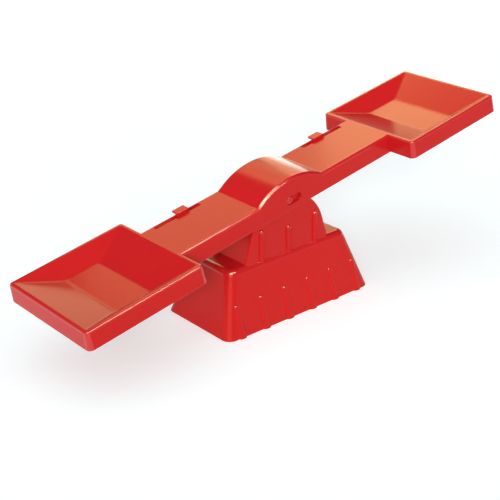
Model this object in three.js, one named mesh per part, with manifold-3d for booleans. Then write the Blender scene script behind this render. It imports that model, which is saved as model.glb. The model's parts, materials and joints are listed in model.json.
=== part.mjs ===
// Toy balance scale: a moulded beam with a tray at each end rocks on a ridge on top of a hollow stand.
// A pin through the stand keeps the beam on and stops its tilt, and a slider in each arm trims it level.
// The scale stands as in use, with its left tray down on the stop. X runs along the beam, Z is up.
import * as THREE from "three";
import { mergeVertices } from "three/addons/utils/BufferGeometryUtils.js";
import Module from "manifold-3d";

// Driving dimensions, in millimetres and degrees

// Beam: two trays, two arms and the hump between them
const BEAM_LENGTH = 400;
const BEAM_WALL = 2;
const TRAY_LENGTH = 97;
const TRAY_WIDTH = 97;
const TRAY_FLARE = 0.9; // how far each outer wall leans out at its foot
const RIM_ROUND = 1.5;
const RIM_CORNER = 0.8; // plan radius left at the very top of the rim
const RIM_LIP = 3; // flat of the rim, from the outer face to the edge of the dish
const DISH_DEPTH = 9.6;
const DISH_FLOOR_LENGTH = 30;
const DISH_FLOOR_WIDTH = 62;
const DISH_CORNER = 2;
const SKIRT_DROP = 2.4; // how far the tray's walls reach below the underside of its dish
const ARM_WIDTH = 48.2;
const ARM_HEIGHT = 15;
const ARM_ROUND = 1.6;
const HUMP_LENGTH = 63.6;
const HUMP_RISE = 10;

// Pivot: a ridge on the stand in notched webs under the hump
const TILT_LIMIT = 10.45; // from level to either stop
const PIVOT_HEIGHT = 100; // above the floor
const PIVOT_CEILING = 3; // from the pivot up to the inside of the hump
const PIVOT_GAP = 0.3;
const RIDGE_TIP = 0.8; // radius
const RIDGE_SLOPE = 22; // each flank, from vertical
const RIDGE_HEIGHT = 9.5; // from the top of the tower up to the pivot
const RIDGE_STEP = 1.5; // how far the ridge's block stands above the tower
const RIDGE_BLOCK_LENGTH = 14;
const RIDGE_INSET = 0.3; // from each face of the tower to the end of the ridge
const NOTCH_SLOPE = 42;
const WEB_LENGTH = 36;
const WEB_DEPTH = 4; // below the pivot
const WEB_THICKNESS = 2.4;
const WEB_SPACING = 22;

// Stop pin and the window it shows in
const PIN_DIAMETER = 5.6;
const PIN_DROP = 12.7; // below the pivot
const PIN_FIT = 0.15;
const PIN_DOME = 1.1;
const PIN_PROUD = 0.2; // beyond the side of the hump
const WINDOW_LENGTH = 14.2;
const WINDOW_CLEARANCE = 0.5;
const STOP_GAP = 0.3;

// Sliders and their slots in the tops of the arms
const SLOT_WIDTH = 4.2;
const SLOT_FROM_HUMP = 20.2;
const SLOT_FROM_TRAY = 9.3;
const SLIDER_LENGTH = 10.6;
const SLIDER_FIT = 0.35;
const SLIDER_RISE = 2.6; // top of the head above the arm
const SLIDER_HEAD = 1.6; // thickness of the head
const SLIDER_OVERHANG = 1.5; // of the head past the side of the arm
const SLIDER_FOOT_REACH = 6;
const SLIDER_FOOT_HEIGHT = 3.4;
const SLIDER_ROUND = 0.3;
const LEFT_SLIDER_SET = 10.2; // from the hump end of its slot
const RIGHT_SLIDER_SET = 11.2;

// Stand: a sloping block with a tower on it
const BASE_LENGTH = 143.5;
const BASE_WIDTH = 74;
const BASE_CORNER = 7;
const BASE_WALL = 2.5;
const LEDGE_LENGTH = 112;
const LEDGE_STEP = 1.6; // from the tower's face to the top edge of the block
const LEDGE_HEIGHT = 47;
const LEDGE_ROUND = 4;
const LEDGE_CORNER = 1.6; // plan radius left at the flat of the ledge
const TOWER_SIDE_GAP = 0.7; // between the tower and the inside of the hump
const TOWER_RADIUS = 37.3;
const TOWER_DRAFT = 17.4; // of the two ends, from vertical
const TOWER_ROUND = 2;
const TOWER_RIB_RADIUS = 2.1;
const TOWER_RIB_SPACING = 26.5;
const TOWER_RIB_GAP = 9; // from the level arm's lower edge down to the top of the outer ribs
const TOWER_RIB_DROP = 3.6; // from the top of the outer ribs to that of the middle one
const BLOCK_RIB_SPACING = 23.2;
const BLOCK_RIB_COUNT = 6;
const BLOCK_RIB_HEIGHT = 23.6;
const BLOCK_RIB_FOOT = 2.7; // how far a rib stands out at the floor
const BLOCK_RIB_TIP = 1.7;
const BLOCK_RIB_SPREAD = 2; // width of a rib over its depth

// Finish and fineness
const RED = 0xd0222a;
const GLOSS_ROUGHNESS = 0.28;
const ARC_STEPS = 24;
const ROUND_STEPS = 4;
const CORNER_STEPS = 4;
const TURN_STEPS = 24;
const DOME_STEPS = 4;
const SPARE = 1; // how far a cutter reaches past the face it opens

// Sizes that follow from those above
const QUARTER_TURN = Math.PI / 2;
const TILT = THREE.MathUtils.degToRad(TILT_LIMIT);
const TRAY_HEIGHT = DISH_DEPTH + BEAM_WALL + SKIRT_DROP;
const TRAY_START = BEAM_LENGTH / 2 - TRAY_LENGTH;
const TRAY_CENTRE = BEAM_LENGTH / 2 - TRAY_LENGTH / 2;
const HUMP_RADIUS = (HUMP_RISE ** 2 + (HUMP_LENGTH / 2) ** 2) / (2 * HUMP_RISE);
const HUMP_CENTRE = HUMP_RISE - HUMP_RADIUS;
const ARM_INSIDE = ARM_WIDTH - 2 * BEAM_WALL;
const PIVOT_RISE = HUMP_RISE - BEAM_WALL - PIVOT_CEILING;
const PIN_HEIGHT = PIVOT_HEIGHT - PIN_DROP;
const TOWER_TOP = PIVOT_HEIGHT - RIDGE_HEIGHT;
const TOWER_WIDTH = ARM_INSIDE - 2 * TOWER_SIDE_GAP;
const LEDGE_WIDTH = TOWER_WIDTH + 2 * LEDGE_STEP;
const SLOT_START = HUMP_LENGTH / 2 + SLOT_FROM_HUMP;
const SLOT_END = TRAY_START - SLOT_FROM_TRAY;

// The tilted beam reaches further on its raised side, so the pivot stands left of the middle of the whole
const RIGHT_REACH = (BEAM_LENGTH / 2 + TRAY_FLARE) * Math.cos(TILT) + (PIVOT_RISE + TRAY_HEIGHT) * Math.sin(TILT);
const LEFT_REACH = (BEAM_LENGTH / 2) * Math.cos(TILT) - (PIVOT_RISE + RIM_ROUND) * Math.sin(TILT);
const PIVOT_X = (LEFT_REACH - RIGHT_REACH) / 2;

const wasm = await Module();
wasm.setup();

// A closed geometry as a solid for joining and cutting
function toSolid(geometry) {
  const bare = geometry.clone();
  bare.deleteAttribute("normal");
  bare.deleteAttribute("uv");
  const { attributes, index } = mergeVertices(bare);
  const triangles = [];
  for (let i = 0; i < index.count; i += 3) {
    const corners = [index.getX(i), index.getX(i + 1), index.getX(i + 2)];
    if (new Set(corners).size === corners.length) {
      triangles.push(...corners);
    }
  }
  const mesh = new wasm.Mesh({
    numProp: 3,
    vertProperties: new Float32Array(attributes.position.array),
    triVerts: new Uint32Array(triangles),
  });
  return new wasm.Manifold(mesh);
}

// A finished solid as a named mesh in glossy red plastic
function toMesh(name, solid) {
  const { vertProperties, triVerts } = solid.getMesh();
  const geometry = new THREE.BufferGeometry();
  geometry.setAttribute("position", new THREE.BufferAttribute(vertProperties, 3));
  geometry.setIndex(new THREE.BufferAttribute(triVerts, 1));
  geometry.computeVertexNormals();
  const material = new THREE.MeshStandardMaterial({ color: RED, roughness: GLOSS_ROUGHNESS, metalness: 0 });
  const mesh = new THREE.Mesh(geometry, material);
  mesh.name = name;
  return mesh;
}

// One level outline with rounded corners, counter-clockwise from above
function roundedRectangle({ length, width, corner, z, x = 0 }) {
  const outline = [];
  const quarters = [[1, 1], [-1, 1], [-1, -1], [1, -1]];
  quarters.forEach(([sideX, sideY], quarter) => {
    for (let step = 0; step <= CORNER_STEPS; step += 1) {
      const angle = (quarter + step / CORNER_STEPS) * QUARTER_TURN;
      const pointX = x + sideX * (length / 2 - corner) + corner * Math.cos(angle);
      const pointY = sideY * (width / 2 - corner) + corner * Math.sin(angle);
      outline.push(new THREE.Vector3(pointX, pointY, z));
    }
  });
  return outline;
}

// A solid skinned through level outlines with the same number of points, lowest first
function loft(outlines) {
  const count = outlines[0].length;
  const faces = [];
  for (let level = 0; level + 1 < outlines.length; level += 1) {
    const low = level * count;
    const high = low + count;
    for (let i = 0; i < count; i += 1) {
      const next = (i + 1) % count;
      faces.push(low + i, low + next, high + next, low + i, high + next, high + i);
    }
  }
  const top = (outlines.length - 1) * count;
  for (let i = 1; i + 1 < count; i += 1) {
    faces.push(0, i + 1, i, top, top + i, top + i + 1);
  }
  const geometry = new THREE.BufferGeometry().setFromPoints(outlines.flat());
  geometry.setIndex(faces);
  return toSolid(geometry);
}

// A profile drawn in X and Z, extruded across Y about the given middle, with its end edges rounded
function acrossY(profile, width, { round = 0, middle = 0 } = {}) {
  const depth = width - 2 * round;
  const geometry = new THREE.ExtrudeGeometry(profile, {
    depth,
    curveSegments: ARC_STEPS,
    bevelEnabled: round > 0,
    bevelThickness: round,
    bevelSize: round,
    bevelOffset: -round,
    bevelSegments: ROUND_STEPS,
  });
  geometry.translate(0, 0, -depth / 2);
  geometry.rotateX(QUARTER_TURN);
  geometry.translate(0, middle, 0);
  return toSolid(geometry);
}

// A box between two corners
function block(low, high) {
  const size = new THREE.Vector3().subVectors(high, low);
  const middle = new THREE.Vector3().addVectors(low, high).multiplyScalar(0.5);
  const geometry = new THREE.BoxGeometry(size.x, size.y, size.z);
  geometry.translate(middle.x, middle.y, middle.z);
  return toSolid(geometry);
}

// Profile of a round rod with its axis along Y, from a flat or domed start to a domed end
function rodProfile({ startRadius, endRadius, length, startDome = 0, endDome }) {
  const points = [];
  for (let step = 0; step < DOME_STEPS; step += 1) {
    const angle = (step / DOME_STEPS) * QUARTER_TURN;
    points.push(new THREE.Vector2(startRadius * Math.sin(angle), -startDome * Math.cos(angle)));
  }
  for (let step = DOME_STEPS; step >= 0; step -= 1) {
    const angle = (step / DOME_STEPS) * QUARTER_TURN;
    if (step === DOME_STEPS) {
      points.push(new THREE.Vector2(startRadius, 0));
    }
    points.push(new THREE.Vector2(endRadius * Math.sin(angle), length + endDome * Math.cos(angle)));
  }
  return points;
}

// Side profile of the arms and hump, or of the hollow under them when a wall is given
function armProfile(end, bottom, wall) {
  const radius = HUMP_RADIUS - wall;
  const start = Math.asin((-wall - HUMP_CENTRE) / radius);
  const profile = new THREE.Shape();
  profile.moveTo(-end, bottom);
  profile.lineTo(-end, -wall);
  profile.absarc(0, HUMP_CENTRE, radius, Math.PI - start, start, true);
  profile.lineTo(end, -wall);
  profile.lineTo(end, bottom);
  return profile;
}

// A tray's outer form: flared walls under a rounded rim
function trayOutside(x) {
  const outlines = [roundedRectangle({
    length: TRAY_LENGTH + 2 * TRAY_FLARE,
    width: TRAY_WIDTH + 2 * TRAY_FLARE,
    corner: RIM_CORNER + RIM_ROUND + TRAY_FLARE,
    z: -TRAY_HEIGHT,
    x,
  })];
  for (let step = 0; step <= ROUND_STEPS; step += 1) {
    const angle = (step / ROUND_STEPS) * QUARTER_TURN;
    const inset = RIM_ROUND * (1 - Math.cos(angle));
    outlines.push(roundedRectangle({
      length: TRAY_LENGTH - 2 * inset,
      width: TRAY_WIDTH - 2 * inset,
      corner: RIM_CORNER + RIM_ROUND - inset,
      z: RIM_ROUND * (Math.sin(angle) - 1),
      x,
    }));
  }
  return loft(outlines);
}

// The dish that is pressed into a tray, lowered by a wall's thickness for its underside
function dish(x, lowered) {
  const rimLength = TRAY_LENGTH - 2 * RIM_LIP;
  const rimWidth = TRAY_WIDTH - 2 * RIM_LIP;
  const reach = SPARE / DISH_DEPTH;
  return loft([
    roundedRectangle({
      length: DISH_FLOOR_LENGTH,
      width: DISH_FLOOR_WIDTH,
      corner: DISH_CORNER,
      z: -DISH_DEPTH - lowered,
      x,
    }),
    roundedRectangle({
      length: rimLength + reach * (rimLength - DISH_FLOOR_LENGTH),
      width: rimWidth + reach * (rimWidth - DISH_FLOOR_WIDTH),
      corner: DISH_CORNER,
      z: SPARE - lowered,
      x,
    }),
  ]);
}

// The space under a tray, between its walls and the underside of its dish
function trayHollow(x) {
  const length = TRAY_LENGTH - 2 * BEAM_WALL;
  const width = TRAY_WIDTH - 2 * BEAM_WALL;
  const corner = RIM_CORNER + RIM_ROUND;
  const flared = { length: length + 2 * TRAY_FLARE, width: width + 2 * TRAY_FLARE, corner, x };
  const walls = loft([
    roundedRectangle({ ...flared, z: -Math.max(TRAY_HEIGHT, ARM_HEIGHT) - SPARE }),
    roundedRectangle({ ...flared, z: -TRAY_HEIGHT }),
    roundedRectangle({ length, width, corner, z: -BEAM_WALL, x }),
  ]);
  return walls.subtract(dish(x, BEAM_WALL));
}

// A web under the hump with a notch that sits on the ridge
function notchedWeb(middle) {
  const radius = HUMP_RADIUS - BEAM_WALL / 2;
  const end = Math.acos(WEB_LENGTH / 2 / radius);
  const slope = THREE.MathUtils.degToRad(NOTCH_SLOPE);
  const root = RIDGE_TIP + PIVOT_GAP;
  const bottom = PIVOT_RISE - WEB_DEPTH;
  const flankTop = PIVOT_RISE + root * Math.sin(slope);
  const mouth = root * Math.cos(slope) + (flankTop - bottom) * Math.tan(slope);
  const profile = new THREE.Shape();
  profile.moveTo(-WEB_LENGTH / 2, bottom);
  profile.lineTo(-mouth, bottom);
  profile.absarc(0, PIVOT_RISE, root, Math.PI - slope, slope, true);
  profile.lineTo(mouth, bottom);
  profile.lineTo(WEB_LENGTH / 2, bottom);
  profile.absarc(0, HUMP_CENTRE, radius, end, Math.PI - end, false);
  return acrossY(profile, WEB_THICKNESS, { middle });
}

// A window in one side of the hump. The pin meets its stop end when the beam is tilted all the way.
function stopWindow(side) {
  const radius = PIN_DIAMETER / 2 + WINDOW_CLEARANCE;
  const pinX = -PIN_DROP * Math.sin(TILT);
  const height = PIVOT_RISE - PIN_DROP * Math.cos(TILT);
  const stopEnd = pinX + WINDOW_CLEARANCE - STOP_GAP;
  const farEnd = stopEnd + WINDOW_LENGTH - 2 * radius;
  const ends = [-side * stopEnd, -side * farEnd].sort((a, b) => a - b);
  const profile = new THREE.Shape();
  profile.absarc(ends[0], height, radius, QUARTER_TURN, 3 * QUARTER_TURN, false);
  profile.absarc(ends[1], height, radius, -QUARTER_TURN, QUARTER_TURN, false);
  return acrossY(profile, BEAM_WALL + SPARE, { middle: side * (ARM_WIDTH - BEAM_WALL) / 2 });
}

// The slot for a slider, along the inside of the arm's far wall
function sliderSlot(side) {
  const wallFace = ARM_INSIDE / 2;
  const ends = [side * SLOT_START, side * SLOT_END].sort((a, b) => a - b);
  return block(
    new THREE.Vector3(ends[0], wallFace - SLOT_WIDTH, -BEAM_WALL - SPARE),
    new THREE.Vector3(ends[1], wallFace, SPARE),
  );
}

// The beam, drawn level with the middle of its top face at the origin
function balanceBeam() {
  const below = new THREE.Vector3(BEAM_LENGTH, BEAM_LENGTH, -ARM_HEIGHT);
  const deep = -ARM_HEIGHT - ARM_ROUND - SPARE;
  let beam = acrossY(armProfile(TRAY_START + RIM_LIP, deep, 0), ARM_WIDTH, { round: ARM_ROUND });
  beam = beam.subtract(block(new THREE.Vector3(-BEAM_LENGTH, -BEAM_LENGTH, deep - SPARE), below));
  for (const side of [-1, 1]) {
    beam = beam.add(trayOutside(side * TRAY_CENTRE));
  }
  beam = beam.subtract(acrossY(armProfile(TRAY_START - TRAY_FLARE, deep, BEAM_WALL), ARM_INSIDE));
  for (const side of [-1, 1]) {
    beam = beam.subtract(dish(side * TRAY_CENTRE, 0));
    beam = beam.subtract(trayHollow(side * TRAY_CENTRE));
    beam = beam.add(notchedWeb(side * WEB_SPACING / 2));
    beam = beam.subtract(stopWindow(side));
    beam = beam.subtract(sliderSlot(side));
  }
  return toMesh("balance_beam", beam);
}

// A slider: head over the arm's far wall, stem down the slot and a foot under the arm's top
function slider(name) {
  const wallFace = ARM_INSIDE / 2;
  const near = wallFace - SLOT_WIDTH + SLIDER_FIT;
  const far = wallFace - SLIDER_FIT;
  const headEnd = ARM_WIDTH / 2 + SLIDER_OVERHANG;
  const footEnd = near - SLIDER_FOOT_REACH;
  const footTop = -BEAM_WALL - SLIDER_FIT;
  const footBottom = footTop - SLIDER_FOOT_HEIGHT;
  const profile = new THREE.Shape();
  profile.moveTo(far, footBottom);
  profile.lineTo(far, SLIDER_RISE - SLIDER_HEAD);
  profile.lineTo(headEnd, SLIDER_RISE - SLIDER_HEAD);
  profile.lineTo(headEnd, SLIDER_RISE);
  profile.lineTo(near, SLIDER_RISE);
  profile.lineTo(near, footTop);
  profile.lineTo(footEnd, footTop);
  profile.lineTo(footEnd, footBottom);
  const depth = SLIDER_LENGTH - 2 * SLIDER_ROUND;
  const geometry = new THREE.ExtrudeGeometry(profile, {
    depth,
    bevelThickness: SLIDER_ROUND,
    bevelSize: SLIDER_ROUND,
    bevelOffset: -SLIDER_ROUND,
    bevelSegments: ROUND_STEPS,
  });
  geometry.translate(0, 0, -depth / 2);
  const [alongX, alongY, alongZ] = [0, 1, 2].map((axis) => new THREE.Vector3().setComponent(axis, 1));
  geometry.applyMatrix4(new THREE.Matrix4().makeBasis(alongY, alongZ, alongX));
  return toMesh(name, toSolid(geometry));
}

// Side profile of the tower: sloping ends under a round top, drawn smaller by a wall for its hollow
function towerProfile(bottom, wall) {
  const radius = TOWER_RADIUS - wall;
  const centre = TOWER_TOP - TOWER_RADIUS;
  const draft = THREE.MathUtils.degToRad(TOWER_DRAFT);
  const tangentX = radius * Math.cos(draft);
  const tangentZ = centre + radius * Math.sin(draft);
  const footX = tangentX + (tangentZ - bottom) * Math.tan(draft);
  const profile = new THREE.Shape();
  profile.moveTo(-footX, bottom);
  profile.lineTo(-tangentX, tangentZ);
  profile.absarc(0, centre, radius, Math.PI - draft, draft, true);
  profile.lineTo(footX, bottom);
  return profile;
}

// The block's sloping walls and rounded ledge
function blockOutside() {
  const leanX = Math.atan((BASE_LENGTH - LEDGE_LENGTH) / 2 / LEDGE_HEIGHT);
  const leanY = Math.atan((BASE_WIDTH - LEDGE_WIDTH) / 2 / LEDGE_HEIGHT);
  const setback = (lean) => LEDGE_ROUND * Math.tan((QUARTER_TURN - lean) / 2);
  const start = Math.max(leanX, leanY);
  const outlines = [roundedRectangle({ length: BASE_LENGTH, width: BASE_WIDTH, corner: BASE_CORNER, z: 0 })];
  for (let step = 0; step <= ROUND_STEPS; step += 1) {
    const angle = start + (step / ROUND_STEPS) * (QUARTER_TURN - start);
    const bulge = LEDGE_ROUND * Math.cos(angle);
    outlines.push(roundedRectangle({
      length: LEDGE_LENGTH + 2 * (bulge - setback(leanX)),
      width: LEDGE_WIDTH + 2 * (bulge - setback(leanY)),
      corner: LEDGE_CORNER + bulge,
      z: LEDGE_HEIGHT + LEDGE_ROUND * (Math.sin(angle) - 1),
    }));
  }
  return loft(outlines);
}

// The space inside the block, open to the floor
function blockHollow() {
  const top = LEDGE_HEIGHT - BASE_WALL;
  const share = SPARE / top;
  const length = BASE_LENGTH - 2 * BASE_WALL;
  const width = BASE_WIDTH - 2 * BASE_WALL;
  const topLength = LEDGE_LENGTH - 2 * BASE_WALL;
  const topWidth = LEDGE_WIDTH - 2 * BASE_WALL;
  return loft([
    roundedRectangle({
      length: length + share * (length - topLength),
      width: width + share * (width - topWidth),
      corner: BASE_CORNER - BASE_WALL,
      z: -SPARE,
    }),
    roundedRectangle({ length: topLength, width: topWidth, corner: LEDGE_CORNER, z: top }),
  ]);
}

// An upright rib with a domed top on a face of the tower
function towerRib(x, face) {
  const outerTop = PIVOT_HEIGHT - PIVOT_RISE - ARM_HEIGHT - TOWER_RIB_GAP;
  const top = x === 0 ? outerTop - TOWER_RIB_DROP : outerTop;
  const foot = LEDGE_HEIGHT / 2;
  const profile = rodProfile({
    startRadius: TOWER_RIB_RADIUS,
    endRadius: TOWER_RIB_RADIUS,
    length: top - TOWER_RIB_RADIUS - foot,
    endDome: TOWER_RIB_RADIUS,
  });
  const geometry = new THREE.LatheGeometry(profile, TURN_STEPS);
  geometry.rotateX(QUARTER_TURN);
  geometry.translate(x, face * TOWER_WIDTH / 2, foot);
  return toSolid(geometry);
}

// A tapered rib that leans on a sloping face of the block and spreads towards the floor
function blockRib(x, face) {
  const lean = Math.atan((BASE_WIDTH - LEDGE_WIDTH) / 2 / LEDGE_HEIGHT);
  const profile = rodProfile({
    startRadius: BLOCK_RIB_FOOT,
    endRadius: BLOCK_RIB_TIP,
    length: BLOCK_RIB_HEIGHT,
    startDome: BLOCK_RIB_FOOT,
    endDome: BLOCK_RIB_TIP,
  });
  const geometry = new THREE.LatheGeometry(profile, TURN_STEPS);
  geometry.scale(BLOCK_RIB_SPREAD, 1, 1);
  geometry.rotateX(QUARTER_TURN + face * lean);
  geometry.translate(x, face * BASE_WIDTH / 2, 0);
  return toSolid(geometry);
}

// The ridge that carries the beam, on a block that also holds the pin
function ridge() {
  const slope = THREE.MathUtils.degToRad(RIDGE_SLOPE);
  const shoulder = TOWER_TOP + RIDGE_STEP;
  const flankTop = PIVOT_HEIGHT + RIDGE_TIP * Math.sin(slope);
  const flankFoot = RIDGE_TIP * Math.cos(slope) + (flankTop - shoulder) * Math.tan(slope);
  const bottom = PIN_HEIGHT - PIN_DIAMETER / 2 - BASE_WALL;
  const profile = new THREE.Shape();
  profile.moveTo(-RIDGE_BLOCK_LENGTH / 2, bottom);
  profile.lineTo(-RIDGE_BLOCK_LENGTH / 2, shoulder);
  profile.lineTo(-flankFoot, shoulder);
  profile.absarc(0, PIVOT_HEIGHT, RIDGE_TIP, Math.PI - slope, slope, true);
  profile.lineTo(flankFoot, shoulder);
  profile.lineTo(RIDGE_BLOCK_LENGTH / 2, shoulder);
  profile.lineTo(RIDGE_BLOCK_LENGTH / 2, bottom);
  return acrossY(profile, TOWER_WIDTH - 2 * RIDGE_INSET);
}

// The hole for the pin, right through the tower
function pinHole() {
  const profile = new THREE.Shape();
  profile.absarc(0, PIN_HEIGHT, PIN_DIAMETER / 2 + PIN_FIT, 0, 4 * QUARTER_TURN, false);
  return acrossY(profile, TOWER_WIDTH + 2 * SPARE);
}

// The stand, with its pivot over the origin and its foot on the floor
function baseStand() {
  const footDepth = LEDGE_HEIGHT / 2;
  let stand = blockOutside();
  stand = stand.add(acrossY(towerProfile(footDepth, 0), TOWER_WIDTH, { round: TOWER_ROUND }));
  for (const face of [-1, 1]) {
    for (const place of [-1, 0, 1]) {
      stand = stand.add(towerRib(place * TOWER_RIB_SPACING, face));
    }
    for (let rib = 0; rib < BLOCK_RIB_COUNT; rib += 1) {
      stand = stand.add(blockRib((rib - (BLOCK_RIB_COUNT - 1) / 2) * BLOCK_RIB_SPACING, face));
    }
  }
  stand = stand.subtract(blockHollow());
  stand = stand.subtract(acrossY(towerProfile(footDepth, BASE_WALL), TOWER_WIDTH - 2 * BASE_WALL));
  stand = stand.add(ridge());
  stand = stand.subtract(pinHole());
  const under = new THREE.Vector3(-BASE_LENGTH, -BASE_LENGTH, -LEDGE_HEIGHT);
  stand = stand.subtract(block(under, new THREE.Vector3(BASE_LENGTH, BASE_LENGTH, 0)));
  return toMesh("base_stand", stand);
}

// The pin, from window to window, with a domed end in each
function stopPin() {
  const length = ARM_WIDTH + 2 * (PIN_PROUD - PIN_DOME);
  const radius = PIN_DIAMETER / 2;
  const profile = rodProfile({
    startRadius: radius,
    endRadius: radius,
    length,
    startDome: PIN_DOME,
    endDome: PIN_DOME,
  });
  const geometry = new THREE.LatheGeometry(profile, TURN_STEPS);
  geometry.translate(0, -length / 2, PIN_HEIGHT);
  return toMesh("stop_pin", toSolid(geometry));
}

// The stand stays on the floor
const stand = new THREE.Group();
stand.position.x = PIVOT_X;
stand.add(baseStand(), stopPin());

// The beam and its sliders turn together about the ridge
const rocking = new THREE.Group();
rocking.position.set(PIVOT_X, 0, PIVOT_HEIGHT);
rocking.rotation.y = -TILT;
const level = new THREE.Group();
level.position.z = -PIVOT_RISE;
const leftSlider = slider("slider_left");
leftSlider.position.x = -(SLOT_START + SLIDER_FIT + SLIDER_LENGTH / 2 + LEFT_SLIDER_SET);
const rightSlider = slider("slider_right");
rightSlider.position.x = SLOT_START + SLIDER_FIT + SLIDER_LENGTH / 2 + RIGHT_SLIDER_SET;
level.add(balanceBeam(), leftSlider, rightSlider);
rocking.add(level);

const balanceScale = new THREE.Group();
balanceScale.add(stand, rocking);

export default balanceScale;
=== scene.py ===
import json
import math

import bmesh
import bpy
from mathutils import Matrix, Vector


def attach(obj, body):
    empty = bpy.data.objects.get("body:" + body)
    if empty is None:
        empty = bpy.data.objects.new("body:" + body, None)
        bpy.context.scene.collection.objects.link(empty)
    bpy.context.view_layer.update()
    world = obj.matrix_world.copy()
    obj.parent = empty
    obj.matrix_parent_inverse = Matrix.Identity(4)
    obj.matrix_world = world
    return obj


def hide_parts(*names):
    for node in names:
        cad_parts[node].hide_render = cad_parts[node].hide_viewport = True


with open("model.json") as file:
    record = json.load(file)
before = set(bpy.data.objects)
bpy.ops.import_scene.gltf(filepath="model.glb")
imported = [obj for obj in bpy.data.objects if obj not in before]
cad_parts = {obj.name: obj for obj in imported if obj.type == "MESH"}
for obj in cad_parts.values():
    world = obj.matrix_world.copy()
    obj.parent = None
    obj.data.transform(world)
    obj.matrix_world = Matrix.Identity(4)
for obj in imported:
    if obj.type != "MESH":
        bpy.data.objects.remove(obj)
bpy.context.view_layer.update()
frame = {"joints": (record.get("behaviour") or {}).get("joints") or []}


# Stand: one hollow moulding in glossy red plastic, a sloping ribbed block with a round-topped tower on it.
# Every wall leans so that it leaves the mould. It stands loose, and the ridge on its top carries the beam.
# Its sizes are in millimetres, about the point on the floor under the pivot.

joints = {joint["name"]: joint for joint in frame["joints"]}
pivot = Vector(joints["beam_tilt"]["pos_m"])
pivot_height = pivot.z * 1000
foot_length, foot_width, foot_corner = 143.5, 74.0, 7.0
ledge_length, ledge_width, ledge_height = 115.5, 46.0, 47.0
ledge_round, ledge_corner = 5.0, 2.6
corner_draw, least_corner, corner_steps = 1.6, 2.0, 20
stand_wall, sunk = 2.5, -2.0
tower_half, tower_radius, tower_top, tower_round = 21.4, 37.3, 90.5, 2.0
tower_draft = math.radians(17.4)
tower_root, hollow_root = 22.0, 24.0
tower_ribs = ((-26.5, 68.9), (0.0, 65.3), (26.5, 68.9))
tower_rib_root, tower_rib_radius = 24.0, 2.1
block_ribs = (-58.0, -34.8, -11.6, 11.6, 34.8, 58.0)
block_rib_top, block_rib_dome = 22.5, 1.5
block_rib_foot_half, block_rib_foot_depth = 3.4, 1.7
block_rib_half, block_rib_depth = 2.0, 1.0
dome_turns = (0.3, 0.6, 0.9, 1.15, 1.35, 1.5)
ridge_half, ridge_step, ridge_tip, ridge_gap = 14.0, 1.5, 0.8, 0.3
ridge_slope = math.radians(22.0)
pin_drop, pin_radius, pin_play = 12.7, 2.8, 0.15
pin_height = pivot_height - pin_drop
deep_red, light_red = (0.575, 0.0115, 0.0145, 1.0), (0.635, 0.0145, 0.0175, 1.0)
warm_tint = (1.0, 0.84, 0.45, 1.0)
cloud_share, flow_share = 0.7, 0.3
plain_rough, smear_rough, worn_rough = 0.14, 0.07, 0.06
edge_coat, edge_smear, edge_rough = 0.7, 0.5, 0.12
ripple_strength, ripple_height, mark_depth = 0.05, 0.0004, 0.2


def finished(name, shell):
    """Turns a mesh under work into an object of the scene."""
    data = bpy.data.meshes.new(name)
    shell.to_mesh(data)
    shell.free()
    piece = bpy.data.objects.new(name, data)
    bpy.context.scene.collection.objects.link(piece)
    return piece


def skin(name, rings):
    """A closed surface through rings of equally many points, with a flat face on each end."""
    shell = bmesh.new()
    loops = [[shell.verts.new(point) for point in ring] for ring in rings]
    for low, high in zip(loops, loops[1:]):
        for i, corner in enumerate(low):
            after = (i + 1) % len(low)
            shell.faces.new((corner, low[after], high[after], high[i]))
    shell.faces.new(reversed(loops[0]))
    shell.faces.new(loops[-1])
    bmesh.ops.recalc_face_normals(shell, faces=shell.faces)
    return finished(name, shell)


def gather(name, pieces):
    """Several closed shells as one mesh."""
    whole = bmesh.new()
    for piece in pieces:
        whole.from_mesh(piece.data)
        bpy.data.objects.remove(piece)
    return finished(name, whole)


def arc(radius, start, end, steps):
    """Points of an arc about the middle of a plane, both ends among them."""
    turns = [start + (end - start) * step / steps for step in range(steps + 1)]
    return [(radius * math.cos(turn), radius * math.sin(turn)) for turn in turns]


def circle(radius, count):
    """Points all round the middle of a plane."""
    return arc(radius, 0.0, 2 * math.pi, count)[:-1]


def oval(x, y, half, depth, z, count=24):
    """A level ring round a point, as wide and as deep as asked."""
    return [(x + half * across, y + depth * away, z) for across, away in circle(1.0, count)]


def oblong(length, width, corner, z, centre=0.0, steps=8):
    """A level ring with rounded corners."""
    ring = []
    for quarter, (right, far) in enumerate(((1, 1), (-1, 1), (-1, -1), (1, -1))):
        middle_x = centre + right * (length / 2 - corner)
        middle_y = far * (width / 2 - corner)
        start = quarter * math.pi / 2
        ring += [(middle_x + x, middle_y + y, z) for x, y in arc(corner, start, start + math.pi / 2, steps)]
    return ring


def slab(name, low, high):
    """A plain block between two corners, for cutting."""
    (x0, y0, z0), (x1, y1, z1) = low, high
    return skin(name, [[(x0, y0, z), (x1, y0, z), (x1, y1, z), (x0, y1, z)] for z in (z0, z1)])


def prism(name, outline, near, far):
    """An outline in X and Z carried across from one Y to another."""
    return skin(name, [[(x, y, z) for x, z in outline] for y in (near, far)])


def work(piece, operation, tool):
    """Joins a tool to a piece, or cuts it out of the piece, and clears the tool away."""
    step = piece.modifiers.new("work", "BOOLEAN")
    step.operation = operation
    step.solver = "EXACT"
    step.object = tool
    graph = bpy.context.evaluated_depsgraph_get()
    done = bpy.data.meshes.new_from_object(piece.evaluated_get(graph))
    piece.modifiers.clear()
    piece.data = done
    bpy.data.objects.remove(tool)


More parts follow.
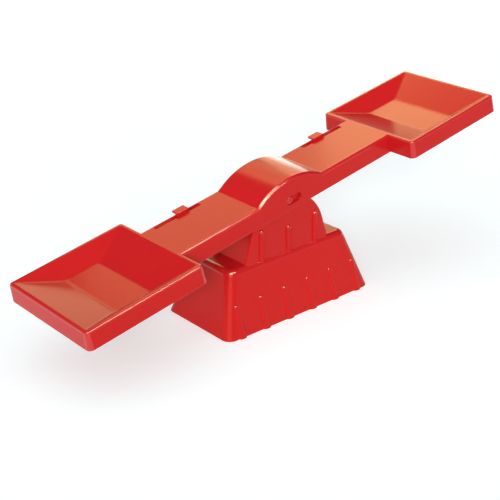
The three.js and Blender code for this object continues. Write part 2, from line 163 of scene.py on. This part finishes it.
def burnish(piece, width=2.2, turn=math.radians(5.5), reach=15.0, flatness=0.997, steepness=0.8):
    """Marks the narrow round faces along the edges, which handling rubs to a brighter shine.
    Long upright ones, as on ribs, are out of reach."""
    shell = bmesh.new()
    shell.from_mesh(piece.data)
    shine = []
    for face in shell.faces:
        side = max(face.edges, key=lambda edge: edge.calc_length())
        length = side.calc_length()
        rise = abs(side.verts[0].co.z - side.verts[1].co.z)
        long_edges = [edge for edge in face.edges if edge.calc_length() > length / 2]
        bent = max(edge.calc_face_angle_signed(0.0) for edge in long_edges) > turn
        narrow = face.calc_area() < width * length
        flat = max(abs(part) for part in face.normal) > flatness
        upright = length > reach and rise > steepness * length
        shine.append(1.0 if narrow and bent and not flat and not upright else 0.0)
    shell.free()
    piece.data.attributes.new("edge_shine", "FLOAT", "FACE").data.foreach_set("value", shine)


def settle(piece, place, material, sharp=math.radians(33.0)):
    """Puts a piece drawn in millimetres in its place, and shades its curves smooth and its flats flat."""
    burnish(piece)
    piece.data.transform(place @ Matrix.Scale(0.001, 4))
    piece.data.materials.clear()
    piece.data.materials.append(material)
    for face in piece.data.polygons:
        face.use_smooth = True
    piece.data.set_sharp_from_angle(angle=sharp)
    flats = piece.modifiers.new("flats", "WEIGHTED_NORMAL")
    flats.keep_sharp = True


class Wire:
    """A shader socket that can stand in a sum: each operator adds its Math node."""

    def __init__(self, tree, socket=None):
        self.tree = tree
        self.socket = socket

    def node(self, kind, settings, sockets, out=0):
        """Adds a node, sets its settings first and then its sockets, and gives one of its outputs."""
        made = self.tree.nodes.new(kind)
        for name, value in settings.items():
            if name == "stops":
                while len(made.color_ramp.elements) < len(value):
                    made.color_ramp.elements.new(1.0)
                for stop, (position, shade) in zip(made.color_ramp.elements, value):
                    stop.position = position
                    stop.color = (shade, shade, shade, 1.0)
            else:
                setattr(made, name, value)
        for key, value in sockets.items():
            if isinstance(value, Wire):
                self.tree.links.new(value.socket, made.inputs[key])
            else:
                made.inputs[key].default_value = value
        return Wire(self.tree, made.outputs[out]) if made.outputs else None

    def maths(self, operation, first, second):
        return self.node("ShaderNodeMath", {"operation": operation}, {0: first, 1: second})

    def __add__(self, other):
        return self.maths("ADD", self, other)

    def __radd__(self, other):
        return self.maths("ADD", other, self)

    def __sub__(self, other):
        return self.maths("SUBTRACT", self, other)

    def __rsub__(self, other):
        return self.maths("SUBTRACT", other, self)

    def __mul__(self, other):
        return self.maths("MULTIPLY", self, other)

    def __rmul__(self, other):
        return self.maths("MULTIPLY", other, self)


def moulded_red(name, wear):
    """Glossy red plastic from a polished mould, with faint pigment clouds and with rub marks from use."""
    material = bpy.data.materials.new(name)
    material.use_nodes = True
    tree = material.node_tree
    shader = tree.nodes["Principled BSDF"]
    wire = Wire(tree)
    place = wire.node("ShaderNodeTexCoord", {}, {}, "Object")
    facing = wire.node("ShaderNodeNewGeometry", {}, {}, "Normal")
    upward = wire.node("ShaderNodeSeparateXYZ", {}, {0: facing}, "Z")

    def noise(vector, scale, detail):
        sockets = {"Vector": vector, "Scale": scale, "Detail": detail}
        return wire.node("ShaderNodeTexNoise", {}, sockets, "Fac")

    # Pigment clouds a few centimetres wide, and faint flow streaks along the moulding
    clouds = noise(place, scale=22.0, detail=3.0)
    stretched = wire.node("ShaderNodeMapping", {}, {"Vector": place, "Scale": (7.0, 70.0, 40.0)})
    flow = noise(stretched, scale=1.0, detail=3.0)
    red = wire.node("ShaderNodeMix", {"data_type": "RGBA"},
                    {0: clouds * cloud_share + flow * flow_share, 6: deep_red, 7: light_red}, 2)

    # Fine crossing rub marks, only on the tops that hands and loads touch
    tops = wire.node("ShaderNodeValToRGB", {"stops": ((0.75, 0.0), (0.97, 1.0))}, {0: upward})
    marks = 0.0
    for turn, fineness in ((0.5, 900.0), (-0.9, 760.0), (1.9, 1050.0)):
        lines = wire.node("ShaderNodeMapping", {},
                          {"Vector": place, "Rotation": (0.0, 0.0, turn), "Scale": (22.0, fineness, 40.0)})
        grain = noise(lines, scale=1.0, detail=1.0)
        thin = wire.node("ShaderNodeValToRGB", {"stops": ((0.66, 0.0), (0.76, 1.0))}, {0: grain})
        marks = thin + marks
    worn = marks * tops * wear

    # Finger smears, a slight ripple from the mould, and edges that hands have polished
    smear = noise(place, scale=60.0, detail=4.0)
    roughness = plain_rough + smear * smear_rough + worn * worn_rough
    ripple = noise(place, scale=150.0, detail=1.0)
    relief = {"Strength": ripple_strength, "Distance": ripple_height, "Height": ripple - worn * mark_depth}
    bump = wire.node("ShaderNodeBump", {}, relief)
    edges = wire.node("ShaderNodeAttribute", {"attribute_name": "edge_shine"}, {}, "Fac")
    polish = edges * (edge_coat + smear * edge_smear)

    tree.links.new(red.socket, shader.inputs["Base Color"])
    tree.links.new(roughness.socket, shader.inputs["Roughness"])
    tree.links.new(bump.socket, shader.inputs["Normal"])
    tree.links.new(polish.socket, shader.inputs["Coat Weight"])
    shader.inputs["Coat Roughness"].default_value = edge_rough
    shader.inputs["IOR"].default_value = 1.46
    shader.inputs["Specular IOR Level"].default_value = 0.2
    shader.inputs["Specular Tint"].default_value = warm_tint
    return material


def block_ring(z, inset):
    """The block's outline at a height, drawn in by a wall's thickness for its inside."""
    share = z / ledge_height
    length = foot_length + (ledge_length - foot_length) * share - 2 * inset
    width = foot_width + (ledge_width - foot_width) * share - 2 * inset
    corner = max(foot_corner - corner_draw * share - inset, least_corner)
    return oblong(length, width, corner, z, steps=corner_steps)


def block_mesh():
    """The block from just under the floor up to its ledge, whose edge is rounded."""
    lean_x = math.atan((foot_length - ledge_length) / 2 / ledge_height)
    lean_y = math.atan((foot_width - ledge_width) / 2 / ledge_height)
    back_x = ledge_round * math.tan((math.pi / 2 - lean_x) / 2)
    back_y = ledge_round * math.tan((math.pi / 2 - lean_y) / 2)
    rings = [block_ring(sunk, 0.0)]
    for bulge, rise in arc(ledge_round, max(lean_x, lean_y), math.pi / 2, steps=8):
        length = ledge_length + 2 * (bulge - back_x)
        width = ledge_width + 2 * (bulge - back_y)
        z = ledge_height + rise - ledge_round
        rings.append(oblong(length, width, ledge_corner + bulge, z, steps=corner_steps))
    return skin("base_stand_moulding", rings)


def tower_outline(bottom, inset):
    """The tower's outline from one foot over the round top to the other."""
    radius = tower_radius - inset
    centre = tower_top - tower_radius
    tangent_z = centre + radius * math.sin(tower_draft)
    foot = radius * math.cos(tower_draft) + (tangent_z - bottom) * math.tan(tower_draft)
    crown = [(x, centre + z) for x, z in arc(radius, tower_draft, math.pi - tower_draft, steps=56)]
    return [(foot, bottom)] + crown + [(-foot, bottom)]


def tower_mesh():
    """The tower, with the edges of its two broad faces rounded."""
    sides = []
    for back, out in arc(tower_round, 0.0, math.pi / 2, steps=18):
        sides.append((tower_round - out, tower_round - back - tower_half))
    sides += [(inset, -y) for inset, y in reversed(sides)]
    return skin("tower", [[(x, y, z) for x, z in tower_outline(tower_root, inset)] for inset, y in sides])


def rib_meshes(side):
    """The ribs on one long side, round ones on the tower and shallow ones on the block, with domed tops."""
    ribs = []
    for x, top in tower_ribs:
        levels = [(tower_rib_radius, tower_rib_root), (tower_rib_radius, top)]
        for turn in dome_turns:
            levels.append((tower_rib_radius * math.cos(turn), top + tower_rib_radius * math.sin(turn)))
        ribs.append(skin("rib", [oval(x, side * tower_half, radius, radius, z) for radius, z in levels]))
    for x in block_ribs:
        levels = [(block_rib_foot_half, block_rib_foot_depth, sunk),
                  (block_rib_half, block_rib_depth, block_rib_top)]
        for turn in dome_turns:
            levels.append((block_rib_half * math.cos(turn), block_rib_depth * math.cos(turn),
                           block_rib_top + block_rib_dome * math.sin(turn)))
        rings = []
        for half, depth, z in levels:
            face = foot_width / 2 + (ledge_width - foot_width) / 2 * z / ledge_height
            rings.append(oval(x, side * face, half, depth, z))
        ribs.append(skin("rib", rings))
    return ribs


def ridge_outline():
    """The ridge from inside the tower's top up to its round edge at the pivot."""
    shoulder = tower_top + ridge_step
    tip = [(x, pivot_height + z) for x, z in arc(ridge_tip, ridge_slope, math.pi - ridge_slope, steps=10)]
    spread = tip[0][0] + (tip[0][1] - shoulder) * math.tan(ridge_slope)
    low = pin_height - pin_radius - stand_wall
    right = [(ridge_half, low), (ridge_half, shoulder), (spread, shoulder)]
    return right + tip + [(-x, z) for x, z in reversed(right)]


def stand_mesh():
    """Block, tower and ribs in one, then hollowed, given the ridge and the pin's hole, and cut level."""
    stand = block_mesh()
    work(stand, "UNION", tower_mesh())
    work(stand, "UNION", gather("ribs", rib_meshes(-1) + rib_meshes(1)))
    heights = (2 * sunk, ledge_height - stand_wall)
    work(stand, "DIFFERENCE", skin("block_hollow", [block_ring(z, stand_wall) for z in heights]))
    inside = tower_half - stand_wall
    work(stand, "DIFFERENCE", prism("tower_hollow", tower_outline(hollow_root, stand_wall), -inside, inside))
    ridge_end = tower_half - ridge_gap
    work(stand, "UNION", prism("ridge", ridge_outline(), -ridge_end, ridge_end))
    hole = [(x, pin_height + z) for x, z in circle(pin_radius + pin_play, count=40)]
    work(stand, "DIFFERENCE", prism("pin_hole", hole, -2 * tower_half, 2 * tower_half))
    under = slab("floor_cut", (-foot_length, -foot_width, 5 * sunk), (foot_length, foot_width, 0.0))
    work(stand, "DIFFERENCE", under)
    return stand


stand_place = Matrix.Translation((pivot.x, 0.0, 0.0))
stand = stand_mesh()
settle(stand, stand_place, moulded_red("stand_red_plastic", wear=0.5))
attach(stand, "stand")
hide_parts("base_stand")


# Stop pin: a plain red plastic rod with domed ends, pushed through the tower.
# Its ends show in the windows in the sides of the hump and stop the tilt.

pin_half, pin_dome, pin_tip = 24.3, 1.1, 0.25


def pin_mesh():
    """The rod from end to end, each dome closed by a small flat tip."""
    ends = []
    for across, out in arc(1.0, 0.0, math.pi / 2, steps=8)[:-1]:
        ends.append((pin_radius * across, pin_half - pin_dome + pin_dome * out))
    ends.append((pin_tip, pin_half))
    profile = [(radius, -y) for radius, y in reversed(ends)] + ends
    rings = [[(x, y, pin_height + z) for x, z in circle(radius, count=48)] for radius, y in profile]
    return skin("stop_pin_rod", rings)


pin = pin_mesh()
settle(pin, stand_place, moulded_red("pin_red_plastic", wear=0.3))
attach(pin, "stand")
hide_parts("stop_pin")


# Beam: one long moulding in the same glossy red, with a dished tray on each end, two flat arms and a hump.
# It is a thin shell, open underneath. Notched webs under the hump sit on the stand's ridge.
# Its sizes are in millimetres, about the middle of its flat top, with the beam level.

along = Vector(joints["left_slider_travel"]["axis"])
tilt = math.atan2(along.z, along.x)
pivot_rise = 5.0
beam_place = (Matrix.Translation(pivot) @ Matrix.Rotation(-tilt, 4, "Y")
              @ Matrix.Translation((0.0, 0.0, -pivot_rise / 1000)))
beam_half, beam_wall = 200.0, 2.0
tray_length, tray_width, tray_height, tray_flare = 97.0, 97.0, 14.0, 0.9
rim_round, rim_corner, rim_lip = 1.5, 1.6, 3.0
dish_depth, dish_length, dish_width = 9.6, 30.0, 62.0
dish_corner, dish_fillet, lip_corner, lip_fillet = 2.4, 0.7, 2.0, 0.12
arm_half, arm_height, arm_round, ceiling_round = 24.1, 15.0, 2.0, 0.7
arm_foot_round, arm_foot_mid, arm_lap = 0.35, 0.1, 1.45
tray_foot_round, tray_foot_mid, inner_break = 0.4, 0.12, 0.3
under_corner, under_rim, under_lip = 1.0, ((0.0, 1.2), (0.3, 0.5)), (0.6, 0.3)
hump_half, hump_rise, hump_blend = 31.8, 10.0, 0.5
hump_radius = (hump_rise ** 2 + hump_half ** 2) / (2 * hump_rise)
arm_edge = [(arm_round - back, arm_round - up) for back, up in arc(arm_round, 0.0, math.pi / 2, steps=6)]
hump_edge = [(0.0, 1.9), (0.06, 1.66), (0.16, 1.47), (0.3, 1.35), (1.75, 0.2), (2.05, 0.05), (2.4, 0.0)]
facet_end, facet_fade = 33.0, 4.0
hump_stations = [2.0 * step for step in range(15)]
blend_stations = [29.4 + 0.3 * step for step in range(14)]
arm_stations = [36.0, 50.0, 70.0, 96.0]
window_length, window_height, window_play, window_edge = 14.2, 6.6, 0.2, 0.35
slot_start, slot_end, slot_near, slot_far, slot_edge = 52.0, 93.7, 17.9, 22.12, 0.25
touch, margin = 0.01, 0.1
web_half, web_drop, web_thickness, web_y = 18.0, 4.0, 2.4, 11.0
web_stations = (-18.0, -14.0, -10.0, -5.0, 0.0, 5.0, 10.0, 14.0, 18.0)
notch_round, notch_slope = 1.1, math.radians(42.0)


def tray_mesh(centre):
    """A tray as rings from the middle of its dish, out over the rim, down its wall and back underneath."""
    half_x, half_y = tray_length / 2 - rim_lip, tray_width / 2 - rim_lip
    steep_x = dish_depth / (half_x - dish_length / 2)
    steep_y = dish_depth / (half_y - dish_width / 2)
    levels = []
    for step in range(7):
        share = step / 6
        out = (2 * share - 1) * dish_fillet
        levels.append((dish_length / 2 + out / steep_x, dish_width / 2 + out / steep_y,
                       dish_corner, dish_fillet * share * share - dish_depth))
    for step in range(6):
        share = step / 5
        out = (2 * share - 1) * lip_fillet
        levels.append((half_x + out / steep_x, half_y + out / steep_y,
                       lip_corner, -lip_fillet * (1 - share) ** 2))

    # Rings outside the lip, as how far out they lie from the rim's outline, corner radius and height
    foot = rim_corner + rim_round + tray_flare
    inner = tray_flare - beam_wall
    wall = []
    for up, out in arc(rim_round, 0.0, math.pi / 2, steps=8):
        wall.append((out - rim_round, rim_corner + out, up - rim_round))
    wall += [(tray_flare, foot, tray_foot_round - tray_height),
             (tray_flare - tray_foot_mid, foot, tray_foot_mid - tray_height),
             (tray_flare - tray_foot_round, foot, -tray_height),
             (inner + inner_break, foot - under_corner, -tray_height),
             (inner, foot - under_corner, inner_break - tray_height)]
    wall += [(-beam_wall - inset, rim_corner + under_corner, -beam_wall - drop) for inset, drop in under_rim]
    levels += [(tray_length / 2 + out, tray_width / 2 + out, corner, z) for out, corner, z in wall]
    inset, drop = under_lip
    levels.append((half_x - inset, half_y - inset, lip_corner, -beam_wall - drop))
    levels.append((dish_length / 2, dish_width / 2, lip_corner, -dish_depth - beam_wall))
    return skin("tray", [oblong(2 * x, 2 * y, corner, z, centre) for x, y, corner, z in levels])


def arm_height_at(x, wall):
    """Top of the arms and hump, or their ceiling, with a small fillet at the foot of the hump."""
    flat = -wall
    reach = (hump_radius - wall) ** 2 - x * x
    crown = hump_rise - hump_radius + math.sqrt(reach) if reach > 0 else -hump_radius
    blend = max(hump_blend - abs(flat - crown), 0.0) / hump_blend
    return max(flat, crown) + blend * blend * hump_blend / 4


def arm_ring(x):
    """A cut through the arm, an upside-down channel whose top edges are round, or faceted on the hump."""
    top, ceiling = arm_height_at(x, 0.0), arm_height_at(x, beam_wall)
    inner = arm_half - beam_wall
    facet = min(max((facet_end - abs(x)) / facet_fade, 0.0), 1.0)
    outer = [(arm_half - arm_foot_round, -arm_height),
             (arm_half - arm_foot_mid, arm_foot_mid - arm_height),
             (arm_half, arm_foot_round - arm_height)]
    for (inset, drop), (hump_inset, hump_drop) in zip(arm_edge, hump_edge):
        y = arm_half - inset - facet * (hump_inset - inset)
        z = top - drop - facet * (hump_drop - drop)
        outer.append((y, z))
    under = [(inner + inner_break, -arm_height), (inner, inner_break - arm_height)]
    for out, up in arc(ceiling_round, 0.0, math.pi / 2, steps=4):
        under.append((inner - ceiling_round + out, ceiling - ceiling_round + up))
    ring = [(-y, z) for y, z in outer] + outer[::-1] + under + [(-y, z) for y, z in reversed(under)]
    return [(x, y, z) for y, z in ring]


def soften_edges(piece, size, wanted=lambda point: True, sharp=0.7):
    """Breaks the sharp edges that a test picks, by a small radius."""
    shell = bmesh.new()
    shell.from_mesh(piece.data)
    edges = [edge for edge in shell.edges if len(edge.link_faces) == 2
             and edge.calc_face_angle(0.0) > sharp and all(wanted(vert.co) for vert in edge.verts)]
    bmesh.ops.bevel(shell, geom=edges, offset=size, segments=3, profile=0.5, affect="EDGES",
                    clamp_overlap=True)
    shell.to_mesh(piece.data)
    shell.free()


def cut_windows(arms):
    """Cuts the window in each side of the hump so that the pin stands at one end of it in the photograph."""
    stop_x = -pin_drop * math.sin(tilt) + window_play
    level = pivot_rise - pin_drop * math.cos(tilt)
    radius = window_height / 2
    for side in (-1, 1):
        left, right = sorted((-side * stop_x, -side * (stop_x + window_length - window_height)))
        outline = [(right + x, level + z) for x, z in arc(radius, -math.pi / 2, math.pi / 2, steps=16)]
        outline += [(left + x, level + z) for x, z in arc(radius, math.pi / 2, 3 * math.pi / 2, steps=16)]
        inside, outside = side * (arm_half - 2 * beam_wall), side * (arm_half + beam_wall)
        work(arms, "DIFFERENCE", prism("window", outline, inside, outside))

    def on_edge(point):
        on_face = abs(abs(point.y) - arm_half) < touch
        return on_face and abs(point.x) < window_length and abs(point.z - level) < radius + margin

    soften_edges(arms, window_edge, on_edge)


def cut_slots(arms):
    """Cuts the slot for a slider along the far edge of each arm."""
    for side in (-1, 1):
        low, high = sorted((side * slot_start, side * slot_end))
        tool = slab("slot", (low, slot_near, -2 * beam_wall), (high, slot_far, beam_wall))
        work(arms, "DIFFERENCE", tool)

    def on_edge(point):
        in_length = slot_start - margin < abs(point.x) < slot_end + margin
        in_width = slot_near - margin < point.y < slot_far + margin
        return abs(point.z) < touch and in_length and in_width

    soften_edges(arms, slot_edge, on_edge)


def web_outline():
    """A web under the hump's ceiling, with the round-ended notch that sits on the ridge."""
    root = [(x, pivot_rise + z) for x, z in arc(notch_round, notch_slope, math.pi - notch_slope, steps=10)]
    bottom = pivot_rise - web_drop
    mouth = root[0][0] + (root[0][1] - bottom) * math.tan(notch_slope)
    arch = [(x, arm_height_at(x, beam_wall / 2)) for x in web_stations]
    return [(web_half, bottom), (mouth, bottom)] + root + [(-mouth, bottom), (-web_half, bottom)] + arch


def beam_mesh():
    """Arms and hump with windows and slots, and the trays and webs, which lap into them."""
    right = hump_stations + blend_stations + arm_stations + [beam_half - tray_length + arm_lap]
    stations = [-x for x in reversed(right)] + right[1:]
    arms = skin("arms", [arm_ring(x) for x in stations])
    cut_windows(arms)
    cut_slots(arms)
    trays = [tray_mesh(side * (beam_half - tray_length / 2)) for side in (-1, 1)]
    half = web_thickness / 2
    webs = [prism("web", web_outline(), y - half, y + half) for y in (-web_y, web_y)]
    return gather("balance_beam_moulding", [arms] + trays + webs)


beam = beam_mesh()
settle(beam, beam_place, moulded_red("beam_red_plastic", wear=1.0))
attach(beam, "beam")
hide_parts("balance_beam")


# Sliders: a small red plastic tab on each arm, snapped into the slot along its far edge.
# The head laps over the arm's edge, and the foot under the arm's top keeps it in.
# Pushed along, it trims the empty beam level.

foot_near, neck_near, neck_far, lip_far = 12.25, 18.25, 21.75, 25.6
foot_bottom, foot_top, head_bottom, head_top = -5.75, -2.35, 1.0, 2.6
tab_half, tab_edge = 5.3, 0.4
tab_outline = [(neck_far, foot_bottom), (neck_far, head_bottom), (lip_far, head_bottom), (lip_far, head_top),
               (neck_near, head_top), (neck_near, foot_top), (foot_near, foot_top), (foot_near, foot_bottom)]

for name, node, body, x in (("left_trim_tab", "slider_left", "left_trim", -67.85),
                            ("right_trim_tab", "slider_right", "right_trim", 68.85)):
    tab = skin(name, [[(x + end, y, z) for y, z in tab_outline] for end in (-tab_half, tab_half)])
    soften_edges(tab, tab_edge)
    settle(tab, beam_place, moulded_red(name + "_red_plastic", wear=0.6))
    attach(tab, body)
    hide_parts(node)


# Studio: a wide pale table top in a pale room with a dark ceiling.
# Two suns behind the camera give light without shine. Screens and lamps give shine without light,
# the warm screens from behind on the right and the others from the near side.

table_radius, table_thickness = 6.0, 0.02
table_grey, table_pale = (0.7, 0.7, 0.7, 1.0), (0.76, 0.84, 0.85, 1.0)
table_glow, white = 0.38, (1.0, 1.0, 1.0, 1.0)
lamp_aim = Vector((0.0, 0.0, 0.1))
amber, cream, ivory, paper = (1.0, 0.80, 0.37), (1.0, 0.88, 0.68), (1.0, 0.88, 0.70), (1.0, 0.90, 0.74)


def table_top():
    """A round table top that looks pale to the eye and in reflections, and lights things as a plain grey."""
    rings = [oval(0.0, 0.0, table_radius, table_radius, z, count=48) for z in (-table_thickness, 0.0)]
    table = skin("table_top", rings)
    material = bpy.data.materials.new("pale_table")
    material.use_nodes = True
    tree = material.node_tree
    tree.nodes.clear()
    wire = Wire(tree)
    seen = wire.node("ShaderNodeLightPath", {}, {}, "Is Camera Ray")
    mirrored = wire.node("ShaderNodeLightPath", {}, {}, "Is Glossy Ray")
    through = wire.node("ShaderNodeLightPath", {}, {}, "Is Transmission Ray")
    matt = wire.node("ShaderNodeBsdfDiffuse", {}, {"Color": table_grey})
    shaded = wire.node("ShaderNodeBsdfDiffuse", {}, {"Color": table_pale})
    glow = wire.node("ShaderNodeEmission", {}, {"Color": white, "Strength": table_glow})
    pale = wire.node("ShaderNodeAddShader", {}, {0: shaded, 1: glow})
    both = wire.node("ShaderNodeMixShader", {}, {0: seen + mirrored + through, 1: matt, 2: pale})
    wire.node("ShaderNodeOutputMaterial", {}, {"Surface": both})
    table.data.materials.append(material)
    return table


table_top()


def hang(name, light, spot, shines):
    """A lamp aimed at the object, which either shines in its surfaces or lights them."""
    holder = bpy.data.objects.new(name, light)
    holder.location = spot
    holder.rotation_euler = (lamp_aim - Vector(spot)).to_track_quat("-Z", "Y").to_euler()
    holder.visible_camera = False
    holder.visible_diffuse = not shines
    holder.visible_glossy = shines
    bpy.context.scene.collection.objects.link(holder)


for name, energy, spread, spot in (("key_lamp", 1.42, 16.0, (-1.3, -1.4, 0.9)),
                                   ("soft_fill", 1.75, 120.0, (-0.6, -0.9, 2.2))):
    sun = bpy.data.lights.new(name, "SUN")
    sun.energy = energy
    sun.angle = math.radians(spread)
    hang(name, sun, spot, shines=False)

for name, width, height, radiance, colour, spot in (
        ("warm_screen", 0.75, 0.42, 2.4, amber, (0.50, 0.80, 0.79)),
        ("warm_middle", 0.37, 0.66, 2.6, amber, (0.747, 0.651, 0.67)),
        ("high_screen", 0.50, 0.40, 2.2, amber, (0.45, 0.95, 1.30)),
        ("side_screen", 0.26, 0.20, 2.0, amber, (0.31, 0.76, 0.34)),
        ("low_strip", 0.17, 0.28, 3.4, paper, (0.715, 0.725, 0.18)),
        ("left_screen", 0.90, 0.40, 1.9, ivory, (-0.80, -0.67, 0.40)),
        ("gloss_lamp", 0.70, 0.70, 20.0, cream, (-0.66, -0.76, 1.24)),
        ("gloss_top", 0.62, 0.50, 10.0, cream, (-0.21, -0.64, 1.44)),
        ("gloss_right", 0.42, 0.42, 24.0, cream, (0.29, -0.80, 1.27))):
    screen = bpy.data.lights.new(name, "AREA")
    screen.shape = "RECTANGLE"
    screen.size = width
    screen.size_y = height
    screen.energy = radiance * math.pi * width * height
    screen.color = colour
    hang(name, screen, spot, shines=True)

# The room is pale low down and dark towards the ceiling, and dimmer on the near right, above a pale horizon
room = bpy.data.worlds.new("studio_room")
room.use_nodes = True
bpy.context.scene.world = room
sky = Wire(room.node_tree)
ways = sky.node("ShaderNodeTexCoord", {}, {}, "Generated")
east, north, up = [sky.node("ShaderNodeSeparateXYZ", {}, {0: ways}, axis) for axis in "XYZ"]
heights = ((0.0, 1.0), (0.14, 0.9), (0.34, 0.3), (0.6, 0.12))
walls = sky.node("ShaderNodeValToRGB", {"stops": heights}, {0: up})
far_left = 0.5 + north * 0.32 - east * 0.38
bright = sky.node("ShaderNodeValToRGB", {"stops": ((0.12, 0.2), (0.40, 0.4), (0.48, 1.1))}, {0: far_left})
horizon = sky.node("ShaderNodeValToRGB", {"stops": ((0.06, 1.0), (0.13, 0.0))}, {0: up})
daylight = walls * (bright + horizon * (1.0 - bright))
room.node_tree.links.new(daylight.socket, room.node_tree.nodes["Background"].inputs["Color"])


# Camera: where the photograph was taken, on the near left and a little above.
# Its place is given from the pivot, and its turn by the directions to its right and upwards.

camera = bpy.data.cameras.new("photo_camera")
camera.sensor_width = 36.0
camera.lens = 84.6
camera.shift_x = -0.02
camera.shift_y = -0.04
camera_place = pivot + Vector((-0.53195, -0.61478, 0.31533))
camera_right = Vector((0.75766, -0.6525, -0.01412))
camera_up = Vector((0.27347, 0.29776, 0.91463))
camera_turn = Matrix((camera_right, camera_up, camera_right.cross(camera_up))).transposed().to_4x4()
view = bpy.data.objects.new("photo_camera", camera)
view.matrix_world = Matrix.Translation(camera_place) @ camera_turn
bpy.context.scene.collection.objects.link(view)
bpy.context.scene.camera = view
bpy.context.scene.view_settings.view_transform = "Standard"
